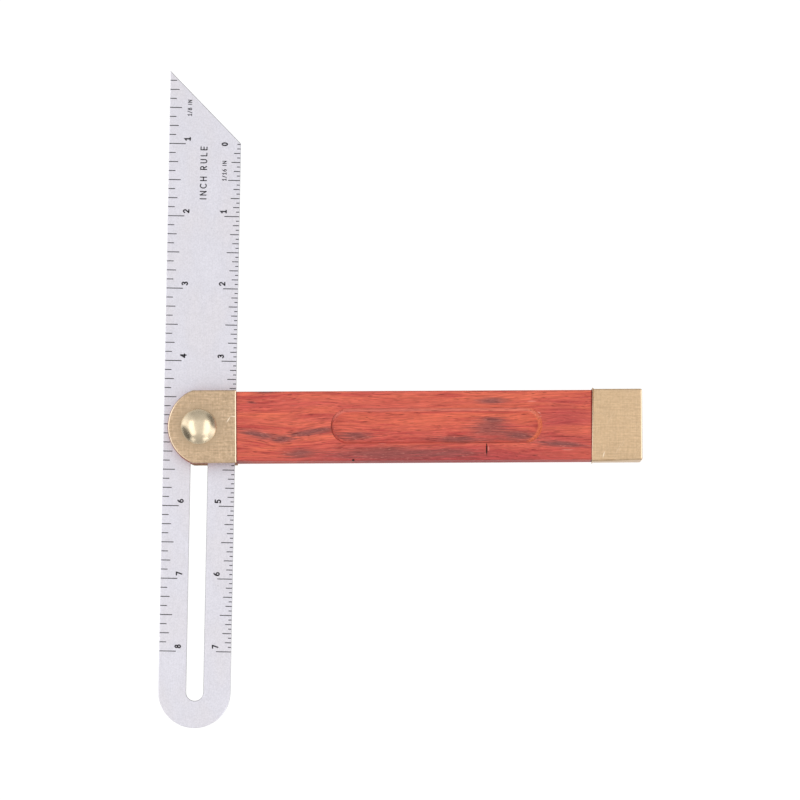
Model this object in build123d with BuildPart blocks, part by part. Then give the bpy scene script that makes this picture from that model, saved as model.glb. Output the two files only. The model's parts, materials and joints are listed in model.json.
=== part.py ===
import math
import os

from build123d import *

# Sliding bevel: a slotted steel blade swings and slides on a bolt at the head of a wooden stock.
# Frame, in millimetres: the origin is on the stock's working edge, over the pivot, midway through
# the thickness. +X runs from the head to the butt, +Y out of the working edge, and +Z out of the
# front face, where the bolt's domed head is.

# Stock
stock_width = 24.3
stock_thickness = 20.0
stock_length = 151.6  # from the centre of the round end to the butt
stock_edge_ease = 0.4
kerf_end_wood = 5.3  # solid wood between the kerf and the cap

# Brass plates on the two cheeks of the head
plate_thickness = 1.4
plate_proud = 0.2  # stands this far out of the wood
plate_overhang = 0.55  # past the wood's long edges
plate_setback = 0.1  # from the wood's round end
plate_reach = 13.15  # from the pivot to the plate's straight end
plate_chamfer = 0.35
head_fullness = 0.95  # the round end's radius is this much over half the plate's width
head_offset = 2.9  # from the pivot to the centre of the round end

# Thumb recess, one in each face
recess_from_plate = 32.85
recess_from_cap = 17.6
recess_width = 12.5
recess_depth = 1.8
recess_corner = 1.7  # radius where the wall meets the floor

# Brass cap on the butt, a box over the wood's tenon
cap_length = 17.2
cap_wall = 1.6
cap_chamfer = 0.35
cap_front_overhang = 0.35  # past the wood's working edge
cap_back_overhang = 0.2  # past the wood's other edge

# Blade
blade_width = 25.2
blade_thickness = 1.5
blade_reach = 125.3  # from the pivot to the mitred tip
blade_tail = 92.2  # from the pivot to the centre of the round end
blade_angle = 88.7  # between the stock and the blade, degrees
blade_mitre = 45.0
blade_ease = 0.12
slot_width = 6.2
slot_head = 6.0  # from the pivot to the centre of the slot's upper end
blade_clearance = 0.2  # on each face, in the kerf

# Pivot bolt, its washer and its wing nut
thread_diameter = 6.0
neck_step = 0.6  # the neck's radius over the thread's
neck_clearance = 0.05
flat_clearance = 0.08  # on each side, between the neck's flats and the slot
flat_margin = 0.3  # the flats are this much longer than the kerf, at each end
dome_diameter = 12.4
dome_height = 3.3
dome_rim = 0.5
thread_clearance = 0.05
thread_past_nut = 1.8
thread_chamfer = 0.5
washer_diameter = 14.0
washer_thickness = 1.2
washer_clearance = 0.1
nut_base_wall = 2.5  # metal round the thread, at the washer
nut_top_wall = 1.3
nut_height = 6.6
wing_span = 26.0
wing_height = 12.5
wing_root = 1.2  # the wings meet the boss this far from both its ends
wing_root_wall = 0.4  # metal between the thread and the line that the wings start from
wing_thickness = 2.6
wing_angle = 45.0  # from the stock, degrees
ear_radius = 3.8

# Places that follow from the sizes
half_width = stock_width / 2
half_thickness = stock_thickness / 2
pivot_y = -half_width
butt_x = head_offset + stock_length
cap_x = butt_x - cap_length
plate_half_width = half_width + plate_overhang
head_radius = plate_half_width + head_fullness
wood_radius = head_radius + plate_setback
plate_inlay = plate_thickness - plate_proud
plate_face_z = half_thickness + plate_proud
kerf_width = blade_thickness + 2 * blade_clearance
kerf_end_x = cap_x - kerf_end_wood
recess_start_x = plate_reach + recess_from_plate
recess_end_x = cap_x - recess_from_cap
neck_diameter = thread_diameter + 2 * neck_step
nut_base_diameter = thread_diameter + 2 * nut_base_wall
nut_top_diameter = thread_diameter + 2 * nut_top_wall
slot_centre = (slot_head - blade_tail) / 2
slot_spacing = slot_head + blade_tail
flats_width = slot_width - 2 * flat_clearance
flats_height = kerf_width + 2 * flat_margin
bore_radius = neck_diameter / 2 + neck_clearance
washer_z = -plate_face_z - washer_thickness
nut_tip_z = washer_z - nut_height
bolt_tip_z = nut_tip_z - thread_past_nut


# A plane parallel to the stock's faces, with its own origin on the pivot's axis
def pivot_plane(height, turn=0.0):
    return Plane(origin=(0, pivot_y, height)).rotated((0, 0, turn))


# The head's outline: an arc round the head's centre, cut off by two long edges and a straight end
def draw_head(radius, edge_y, end_x):
    shoulder_x = head_offset - math.sqrt(radius**2 - edge_y**2)
    ThreePointArc((shoulder_x, edge_y), (head_offset - radius, 0), (shoulder_x, -edge_y))
    Polyline((shoulder_x, -edge_y), (end_x, -edge_y), (end_x, edge_y), (shoulder_x, edge_y))


os.makedirs("parts", exist_ok=True)

with BuildPart() as handle_body:
    with BuildSketch(pivot_plane(-half_thickness)):
        with BuildLine():
            draw_head(wood_radius, half_width, cap_x)
        make_face()
    extrude(amount=stock_thickness)
    long_edges = handle_body.edges().filter_by(Axis.X)
    chamfer(long_edges, stock_edge_ease)
    # the tenon that the cap fits over
    with BuildSketch(Plane(origin=(cap_x, pivot_y, 0), x_dir=(0, 1, 0), z_dir=(1, 0, 0))):
        Rectangle(stock_width - 2 * cap_wall, stock_thickness - 2 * cap_wall)
    extrude(amount=cap_length - cap_wall)
    # the kerf, open at the head and along both edges
    with BuildSketch(pivot_plane(-kerf_width / 2)):
        with Locations((kerf_end_x, 0)):
            Rectangle(
                kerf_end_x - head_offset + wood_radius,
                2 * stock_width,
                align=(Align.MAX, Align.CENTER),
            )
    extrude(amount=kerf_width, mode=Mode.SUBTRACT)
    # the seats of the two plates
    for seat_z in (half_thickness - plate_inlay, -half_thickness):
        with BuildSketch(pivot_plane(seat_z)):
            with Locations((plate_reach, 0)):
                Rectangle(
                    plate_reach + wood_radius,
                    2 * stock_width,
                    align=(Align.MAX, Align.CENTER),
                )
        extrude(amount=plate_inlay, mode=Mode.SUBTRACT)
    # the bolt's bore through both cheeks
    with BuildSketch(pivot_plane(-half_thickness)):
        Circle(bore_radius)
    extrude(amount=stock_thickness, mode=Mode.SUBTRACT)
    # the thumb recess in each face
    for side in (1, -1):
        with BuildSketch(pivot_plane(side * half_thickness)):
            with Locations(((recess_start_x + recess_end_x) / 2, 0)):
                SlotOverall(recess_end_x - recess_start_x, recess_width)
        extrude(amount=-side * recess_depth, mode=Mode.SUBTRACT)
        floor_z = side * (half_thickness - recess_depth)
        floor_edges = handle_body.edges(Select.LAST).filter_by_position(Axis.Z, floor_z, floor_z)
        fillet(floor_edges, recess_corner)
handle_body.part.label = "handle_body"
export_step(handle_body.part, "parts/handle_body.step")

# The front and the back plate are the same, turned face to face
for plate_name, side in (("head_plate_front", 1), ("head_plate_back", -1)):
    with BuildPart() as head_plate:
        with BuildSketch(pivot_plane(side * (half_thickness - plate_inlay))):
            with BuildLine():
                draw_head(head_radius, plate_half_width, plate_reach)
            make_face()
            Circle(bore_radius, mode=Mode.SUBTRACT)
        extrude(amount=side * plate_thickness)
        outer_face = head_plate.faces().filter_by(Axis.Z).sort_by(Axis.Z)[-1 if side > 0 else 0]
        chamfer(outer_face.outer_wire().edges(), plate_chamfer)
    head_plate.part.label = plate_name
    export_step(head_plate.part, f"parts/{plate_name}.step")

with BuildPart() as butt_cap:
    cap_plane = Plane(origin=(cap_x, pivot_y, 0), x_dir=(0, 1, 0), z_dir=(1, 0, 0))
    with BuildSketch(cap_plane):
        with Locations(((cap_front_overhang - cap_back_overhang) / 2, 0)):
            Rectangle(stock_width + cap_front_overhang + cap_back_overhang, stock_thickness)
    extrude(amount=cap_length)
    chamfer(butt_cap.edges(), cap_chamfer)
    with BuildSketch(cap_plane):
        Rectangle(stock_width - 2 * cap_wall, stock_thickness - 2 * cap_wall)
    extrude(amount=cap_length - cap_wall, mode=Mode.SUBTRACT)
butt_cap.part.label = "butt_cap"
export_step(butt_cap.part, "parts/butt_cap.step")

with BuildPart() as blade:
    half_blade = blade_width / 2
    mitre_drop = blade_width / math.tan(math.radians(blade_mitre))
    # drawn with its length along the plane's X, tip first, and its left edge towards the plane's +Y
    with BuildSketch(pivot_plane(-blade_thickness / 2, blade_angle)):
        with BuildLine():
            Polyline(
                (-blade_tail, half_blade),
                (blade_reach, half_blade),
                (blade_reach - mitre_drop, -half_blade),
                (-blade_tail, -half_blade),
            )
            ThreePointArc(
                (-blade_tail, -half_blade),
                (-blade_tail - half_blade, 0),
                (-blade_tail, half_blade),
            )
        make_face()
        with Locations((slot_centre, 0)):
            SlotCenterToCenter(slot_spacing, slot_width, mode=Mode.SUBTRACT)
    extrude(amount=blade_thickness)
    chamfer(blade.faces().filter_by(Axis.Z).edges(), blade_ease)
blade.part.label = "blade"
export_step(blade.part, "parts/blade.step")

with BuildPart() as pivot_bolt:
    # half of the bolt's section, from the dome's top down to the threaded tip
    with BuildSketch(Plane(origin=(0, pivot_y, 0), x_dir=(1, 0, 0), z_dir=(0, -1, 0))):
        with BuildLine():
            dome_top = plate_face_z + dome_height
            rim_top = plate_face_z + dome_rim
            dome_half = dome_diameter / 2
            cap_rise = dome_height - dome_rim
            dome_radius = (dome_half**2 + cap_rise**2) / (2 * cap_rise)
            RadiusArc((0, dome_top), (dome_half, rim_top), dome_radius)
            Polyline(
                (dome_half, rim_top),
                (dome_half, plate_face_z),
                (neck_diameter / 2, plate_face_z),
                (neck_diameter / 2, -plate_face_z),
                (thread_diameter / 2, -plate_face_z),
                (thread_diameter / 2, bolt_tip_z + thread_chamfer),
                (thread_diameter / 2 - thread_chamfer, bolt_tip_z),
                (0, bolt_tip_z),
                (0, dome_top),
            )
        make_face()
    revolve(axis=Axis((0, pivot_y, 0), (0, 0, 1)))
    # two flats on the neck, which ride in the blade's slot
    with BuildSketch(pivot_plane(-flats_height / 2, blade_angle)):
        for flat_side in (1, -1):
            with Locations((0, flat_side * flats_width / 2)):
                Rectangle(
                    2 * neck_diameter,
                    neck_diameter,
                    align=(Align.CENTER, Align.MIN if flat_side > 0 else Align.MAX),
                )
    extrude(amount=flats_height, mode=Mode.SUBTRACT)
pivot_bolt.part.label = "pivot_bolt"
export_step(pivot_bolt.part, "parts/pivot_bolt.step")

with BuildPart() as washer:
    with BuildSketch(pivot_plane(washer_z)):
        Circle(washer_diameter / 2)
        Circle(thread_diameter / 2 + washer_clearance, mode=Mode.SUBTRACT)
    extrude(amount=washer_thickness)
washer.part.label = "washer"
export_step(washer.part, "parts/washer.step")

with BuildPart() as wing_nut:
    # the boss narrows away from the stock
    nut_plane = Plane(origin=(0, pivot_y, washer_z), x_dir=(1, 0, 0), z_dir=(0, 0, -1))
    narrowing = (nut_base_diameter - nut_top_diameter) / 2
    with BuildSketch(nut_plane):
        Circle(nut_base_diameter / 2)
    extrude(amount=nut_height, taper=math.degrees(math.atan(narrowing / nut_height)))
    # each wing is the hull of a round ear and a line inside the boss
    wing_x = math.cos(math.radians(wing_angle))
    wing_y = math.sin(math.radians(wing_angle))
    wing_plane = Plane(
        origin=(0, pivot_y, washer_z), x_dir=(wing_x, wing_y, 0), z_dir=(-wing_y, wing_x, 0)
    )
    ear_x = wing_span / 2 - ear_radius
    ear_y = wing_height - ear_radius
    for wing_side in (1, -1):
        with BuildSketch(wing_plane):
            with BuildLine():
                CenterArc((wing_side * ear_x, ear_y), ear_radius, 0, 360)
                root_x = wing_side * (thread_diameter / 2 + wing_root_wall)
                Line((root_x, wing_root), (root_x, nut_height - wing_root))
            make_hull()
        extrude(amount=wing_thickness / 2, both=True)
    with BuildSketch(nut_plane):
        Circle(thread_diameter / 2 + thread_clearance)
    extrude(amount=nut_height, mode=Mode.SUBTRACT)
wing_nut.part.label = "wing_nut"
export_step(wing_nut.part, "parts/wing_nut.step")
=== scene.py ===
import json
import math

import bmesh
import bpy
from mathutils import Matrix, Vector
from mathutils.geometry import tessellate_polygon


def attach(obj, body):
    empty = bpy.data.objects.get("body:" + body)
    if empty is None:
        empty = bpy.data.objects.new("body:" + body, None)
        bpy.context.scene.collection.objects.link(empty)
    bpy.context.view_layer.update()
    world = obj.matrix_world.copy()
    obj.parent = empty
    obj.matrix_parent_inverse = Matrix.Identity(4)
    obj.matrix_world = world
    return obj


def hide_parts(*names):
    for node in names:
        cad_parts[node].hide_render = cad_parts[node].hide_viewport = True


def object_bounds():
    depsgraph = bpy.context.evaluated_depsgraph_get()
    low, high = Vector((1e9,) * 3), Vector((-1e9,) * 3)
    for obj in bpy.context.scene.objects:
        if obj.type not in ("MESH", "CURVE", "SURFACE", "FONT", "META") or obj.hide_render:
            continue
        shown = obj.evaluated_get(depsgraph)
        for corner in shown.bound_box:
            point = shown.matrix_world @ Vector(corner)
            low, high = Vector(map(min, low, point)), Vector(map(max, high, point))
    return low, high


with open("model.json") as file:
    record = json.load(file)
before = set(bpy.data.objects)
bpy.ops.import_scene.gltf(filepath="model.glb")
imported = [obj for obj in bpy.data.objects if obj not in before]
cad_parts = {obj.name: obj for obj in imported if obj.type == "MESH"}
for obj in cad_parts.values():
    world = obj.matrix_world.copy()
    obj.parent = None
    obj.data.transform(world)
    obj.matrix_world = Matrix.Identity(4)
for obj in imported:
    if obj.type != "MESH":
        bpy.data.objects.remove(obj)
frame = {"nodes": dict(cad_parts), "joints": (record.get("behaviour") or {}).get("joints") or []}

cadLow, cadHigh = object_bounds()
joints = {joint["name"]: joint for joint in frame["joints"]}
pivot = Vector(joints["blade_swing"]["pos_m"])
bladeWay = Vector(joints["blade_slide"]["axis"]).normalized()  # along the blade, to its tip
bladeLeft = Vector((-bladeWay.y, bladeWay.x, 0))
mm = 0.001
toolReach = 1 * mm  # how far a cutting tool stands out of what it cuts
print("frame loaded")


# Shapes

# how far a node reaches from the pivot along a direction, at rest
def span(nodeName, direction):
    reach = [(vertex.co - pivot).dot(direction) for vertex in frame["nodes"][nodeName].data.vertices]
    return min(reach), max(reach)


# a space with its origin on the pivot's axis, its X turned from the row's X about Z
def pivotSpace(turn=0.0):
    return Matrix.Translation((pivot.x, pivot.y, 0)) @ Matrix.Rotation(turn, 4, "Z")


# the same for a cheek: the front one, or the back one as its mirror image
def cheekSpace(side):
    return pivotSpace() @ Matrix.Diagonal((1, 1, side, 1))


def arcPoints(centre, radius, start, end, steps):
    angles = [math.radians(start + (end - start) * step / steps) for step in range(steps + 1)]
    return [Vector((centre[0] + radius * math.cos(a), centre[1] + radius * math.sin(a))) for a in angles]


# the outline of the head: an arc round the head's centre between two long edges, and a straight end
def headLoop(centreX, radius, halfWidth, endX, steps=72):
    shoulder = math.degrees(math.asin(halfWidth / radius))
    arc = arcPoints((centreX, 0), radius, 180 - shoulder, 180 + shoulder, steps)
    return [Vector((endX, -halfWidth)), Vector((endX, halfWidth))] + arc


def obroundLoop(startX, endX, radius, steps=24):
    right = arcPoints((endX - radius, 0), radius, -90, 90, steps)
    left = arcPoints((startX + radius, 0), radius, 90, 270, steps)
    return right + left


def stroke(*corners):
    return [Vector(corner) for corner in corners]


# moves a loop to the left of its direction of travel, which is into the material
def insetLoop(loop, inset):
    moved = []
    for index, point in enumerate(loop):
        before = (point - loop[index - 1]).normalized()
        after = (loop[(index + 1) % len(loop)] - point).normalized()
        normals = Vector((-before.y, before.x)), Vector((-after.y, after.x))
        moved.append(point + (normals[0] + normals[1]) * (inset / (1 + normals[0].dot(normals[1]))))
    return moved


# a rounded corner, or a chamfer where it has one step: (height, inset) pairs from its foot on
def roundedCorner(foot, ease, steps, way=1):
    turns = [math.pi / 2 * step / steps for step in range(steps + 1)]
    return [(foot + way * ease * (1 - math.cos(a)), ease * (1 - math.sin(a))) for a in turns]


# the levels of a plate from the bottom up, with its lower and its upper edges eased
def easedLevels(low, high, lowEase, highEase, steps):
    return roundedCorner(low, lowEase, steps) + roundedCorner(high, highEase, steps, -1)[::-1]


# a solid between the first and the last level: the first loop is the outline, the others are holes
def slab(loops, levels, space, bm=None):
    bm = bm or bmesh.new()
    rings = []
    for height, inset in levels:
        rings.append([
            [bm.verts.new(space @ Vector((point.x, point.y, height))) for point in insetLoop(loop, inset)]
            for loop in loops
        ])
    for lower, upper in zip(rings, rings[1:]):
        for low, high in zip(lower, upper):
            for index in range(len(low)):
                following = (index + 1) % len(low)
                bm.faces.new((low[index], low[following], high[following], high[index]))
    for ring in (rings[0], rings[-1]):
        corners = [vertex for loop in ring for vertex in loop]
        for triangle in tessellate_polygon([[vertex.co for vertex in loop] for loop in ring]):
            bm.faces.new([corners[index] for index in triangle])
    return bm


# a turned solid: profile points are (radius, height), and shape may move a ring's points off the circle
def lathe(profile, space, segments=96, closed=False, shape=None):
    bm = bmesh.new()
    rings = []
    for radius, height in profile:
        if radius < 1e-9:
            rings.append([bm.verts.new(space @ Vector((0, 0, height)))])
            continue
        ring = []
        for segment in range(segments):
            angle = 2 * math.pi * segment / segments
            point = Vector((radius * math.cos(angle), radius * math.sin(angle), height))
            ring.append(bm.verts.new(space @ (shape(point, angle) if shape else point)))
        rings.append(ring)
    pairs = list(zip(rings, rings[1:]))
    if closed:
        pairs.append((rings[-1], rings[0]))
    for low, high in pairs:
        for index in range(segments):
            following = (index + 1) % segments
            if len(low) == 1:
                bm.faces.new((low[0], high[following], high[index]))
            elif len(high) == 1:
                bm.faces.new((low[index], low[following], high[0]))
            else:
                bm.faces.new((low[index], low[following], high[following], high[index]))
    return bm


def meshObject(bm, name):
    bmesh.ops.recalc_face_normals(bm, faces=bm.faces)
    mesh = bpy.data.meshes.new(name)
    bm.to_mesh(mesh)
    bm.free()
    piece = bpy.data.objects.new(name, mesh)
    bpy.context.scene.collection.objects.link(piece)
    return piece


# puts what the modifiers make into the mesh itself
def settleModifiers(piece):
    depsgraph = bpy.context.evaluated_depsgraph_get()
    piece.data = bpy.data.meshes.new_from_object(piece.evaluated_get(depsgraph))
    piece.modifiers.clear()


def carve(piece, cutters, operation="DIFFERENCE"):
    for cutter in cutters:
        modifier = piece.modifiers.new("carve", "BOOLEAN")
        modifier.operation = operation
        modifier.solver = "EXACT"
        modifier.object = cutter
    settleModifiers(piece)
    for cutter in cutters:
        bpy.data.objects.remove(cutter)


# smooth shading that keeps the large faces flat
def smoothByAngle(piece, degrees):
    bm = bmesh.new()
    bm.from_mesh(piece.data)
    for face in bm.faces:
        face.smooth = True
    for edge in bm.edges:
        edge.smooth = edge.calc_face_angle(0.0) < math.radians(degrees)
    bm.to_mesh(piece.data)
    bm.free()
    weighted = piece.modifiers.new("flatFaces", "WEIGHTED_NORMAL")
    weighted.keep_sharp = True
    weighted.weight = 100
    settleModifiers(piece)


def fitOut(piece, body, material, replaced=None, smoothing=14):
    smoothByAngle(piece, smoothing)
    piece.data.materials.clear()
    piece.data.materials.append(material)
    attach(piece, body)
    if replaced:
        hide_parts(replaced)


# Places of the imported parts, from the pivot, in metres
axes = Vector((1, 0, 0)), Vector((0, 1, 0)), Vector((0, 0, 1))
stockX, stockY, stockZ = [span("handle_body", axis) for axis in axes]
plateX, plateY, plateZ = [span("head_plate_front", axis) for axis in axes]
capX, capY, capZ = [span("butt_cap", axis) for axis in axes]
bladeLength, bladeAcross, bladeZ = [span("blade", way) for way in (bladeWay, bladeLeft, axes[2])]
boltZ = span("pivot_bolt", axes[2])
washerX, washerZ = [span("washer", axis) for axis in (axes[0], axes[2])]
nutZ = span("wing_nut", axes[2])
bladeTurn = math.atan2(bladeWay.y, bladeWay.x)


# Shader pieces

def setInput(tree, socket, value):
    if isinstance(value, bpy.types.NodeSocket):
        tree.links.new(value, socket)
    else:
        socket.default_value = value


def addNode(tree, kind, inputs=None, **settings):
    node = tree.nodes.new("ShaderNode" + kind)
    for name, value in settings.items():
        setattr(node, name, value)
    for name, value in (inputs or {}).items():
        setInput(tree, node.inputs[name], value)
    return node


def calculate(tree, operation, *values):
    return addNode(tree, "Math", dict(enumerate(values)), operation=operation).outputs[0]


def calculateVector(tree, operation, *values):
    node = addNode(tree, "VectorMath", dict(enumerate(values)), operation=operation)
    return node.outputs["Value" if operation in ("LENGTH", "DOT_PRODUCT") else "Vector"]


def multiply(tree, first, second):
    return calculate(tree, "MULTIPLY", first, second)


def larger(tree, first, second):
    return calculate(tree, "MAXIMUM", first, second)


def mapRange(tree, value, fromLow, fromHigh, toLow=0.0, toHigh=1.0, **settings):
    values = {"Value": value, "From Min": fromLow, "From Max": fromHigh, "To Min": toLow, "To Max": toHigh}
    return addNode(tree, "MapRange", values, **settings).outputs[0]


def turnVector(tree, vector, angle):
    values = {"Vector": vector, "Angle": angle}
    return addNode(tree, "VectorRotate", values, rotation_type="Z_AXIS").outputs[0]


def addNoise(tree, vector, detail, seed):
    values = {"Vector": vector, "W": seed, "Scale": 1.0, "Detail": detail}
    return addNode(tree, "TexNoise", values, noise_dimensions="4D").outputs[0]


def mixColors(tree, factor, first, second, blend="MIX"):
    node = addNode(tree, "Mix", data_type="RGBA", blend_type=blend)
    # the sockets of a colour mix: factor, then the two colours
    for index, value in ((0, factor), (6, first), (7, second)):
        setInput(tree, node.inputs[index], value)
    return node.outputs[2]


def addBump(tree, sockets, height, strength, distance):
    bump = addNode(tree, "Bump", {"Height": height, "Strength": strength, "Distance": distance})
    tree.links.new(bump.outputs[0], sockets["Normal"])


# a node group with a vector and named numbers or vectors in, and one value out
def newGroup(name, inputs, output):
    tree = bpy.data.node_groups.new(name, "ShaderNodeTree")
    for socketName, value in (("Vector", (0, 0, 0)), *inputs.items()):
        kind = "NodeSocketVector" if isinstance(value, tuple) else "NodeSocketFloat"
        socket = tree.interface.new_socket(socketName, in_out="INPUT", socket_type=kind)
        socket.default_value = value
    tree.interface.new_socket(output, in_out="OUTPUT", socket_type="NodeSocketFloat")
    return tree, tree.nodes.new("NodeGroupInput").outputs, tree.nodes.new("NodeGroupOutput").inputs[output]


def useGroup(tree, group, vector, **inputs):
    return addNode(tree, "Group", {"Vector": vector, **inputs}, node_tree=group).outputs[0]


# noise drawn out along X: wood fibres, brush marks. Length and Width are in millimetres
def makeLineGrain():
    tree, given, result = newGroup(
        "lineGrain", {"Length": 10.0, "Width": 0.5, "Detail": 2.0, "Seed": 0.0}, "Value"
    )
    size = addNode(tree, "CombineXYZ", {"X": given["Length"], "Y": given["Width"], "Z": given["Width"]})
    drawn = calculateVector(tree, "DIVIDE", given["Vector"], size.outputs[0])
    tree.links.new(addNoise(tree, drawn, given["Detail"], given["Seed"]), result)
    return tree


# an oval patch of a given centre and half size, in millimetres, soft at its rim and frayed by noise
def makeSoftSpot():
    inputs = {"Centre": (0, 0, 0), "Size": (1, 1, 1), "Slope": 0.0, "Fray": 0.0, "Core": 0.2, "Noise": 0.5}
    tree, given, result = newGroup("softSpot", inputs, "Mask")
    shift = calculateVector(tree, "SUBTRACT", given["Vector"], given["Centre"])
    shrink = calculateVector(tree, "DIVIDE", turnVector(tree, shift, given["Slope"]), given["Size"])
    away = calculateVector(tree, "LENGTH", shrink)
    centred = calculate(tree, "SUBTRACT", given["Noise"], 0.5)
    frayed = calculate(tree, "MULTIPLY_ADD", centred, given["Fray"], away)
    mask = mapRange(tree, frayed, 1.0, given["Core"], interpolation_type="SMOOTHSTEP")
    tree.links.new(mask, result)
    return tree


# a round patch about the bolt's axis, with a soft rim outside its radius
def makeRoundPatch():
    tree, given, result = newGroup("roundPatch", {"Radius": 2.0, "Softness": 0.5}, "Mask")
    flat = calculateVector(tree, "MULTIPLY", given["Vector"], (1, 1, 0))
    away = calculateVector(tree, "LENGTH", flat)
    outside = calculate(tree, "ADD", given["Radius"], given["Softness"])
    tree.links.new(mapRange(tree, away, outside, given["Radius"]), result)
    return tree


# worn, brighter metal on outward edges, broken up by noise
def makeEdgeWear():
    tree, given, result = newGroup("edgeWear", {"Radius": 0.0003, "Amount": 1.0}, "Mask")
    rounded = addNode(tree, "Bevel", {"Radius": given["Radius"]}, samples=4)
    geometry = addNode(tree, "NewGeometry")
    agree = calculateVector(tree, "DOT_PRODUCT", rounded.outputs[0], geometry.outputs["Normal"])
    breakUp = addNode(tree, "TexNoise", {"Vector": given["Vector"], "Scale": 0.9, "Detail": 3.0})
    patchy = mapRange(tree, breakUp.outputs[0], 0.3, 0.6)
    both = multiply(tree, mapRange(tree, agree, 0.99, 0.86), patchy)
    scaled = addNode(tree, "Math", {0: both, 1: given["Amount"]}, operation="MULTIPLY", use_clamp=True)
    tree.links.new(scaled.outputs[0], result)
    return tree


# a few thin scratches in two directions
def makeFineScratches():
    inputs = {"Length": 9.0, "Width": 0.12, "Rarity": 0.7}
    tree, given, result = newGroup("fineScratches", inputs, "Mask")
    size = addNode(tree, "CombineXYZ", {"X": given["Length"], "Y": given["Width"], "Z": given["Width"]})
    top = calculate(tree, "ADD", given["Rarity"], 0.04)
    masks = []
    for angle, seed in ((0.5, 3.0), (-1.1, 8.0)):
        turned = turnVector(tree, given["Vector"], angle)
        drawn = calculateVector(tree, "DIVIDE", turned, size.outputs[0])
        masks.append(mapRange(tree, addNoise(tree, drawn, 0.0, seed), given["Rarity"], top))
    tree.links.new(larger(tree, *masks), result)
    return tree


lineGrain = makeLineGrain()
softSpot = makeSoftSpot()
roundPatch = makeRoundPatch()
edgeWear = makeEdgeWear()
fineScratches = makeFineScratches()
print("shader groups made")


def grain(tree, vector, length, width, detail, seed=0.0):
    return useGroup(tree, lineGrain, vector, Length=length, Width=width, Detail=detail, Seed=seed)


# a new material, its tree, its surface shader, and a vector in millimetres from the pivot
def startMaterial(name, turn=0.0, **surface):
    material = bpy.data.materials.new(name)
    material.use_nodes = True
    tree = material.node_tree
    principled = tree.nodes["Principled BSDF"]
    for socketName, value in surface.items():
        principled.inputs[socketName.replace("_", " ")].default_value = value
    place = addNode(tree, "TexCoord")
    moved = calculateVector(tree, "SUBTRACT", place.outputs["Object"], pivot)
    scaled = addNode(tree, "VectorMath", {0: moved, "Scale": 1 / mm}, operation="SCALE")
    return material, tree, principled.inputs, turnVector(tree, scaled.outputs[0], -turn)


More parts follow.
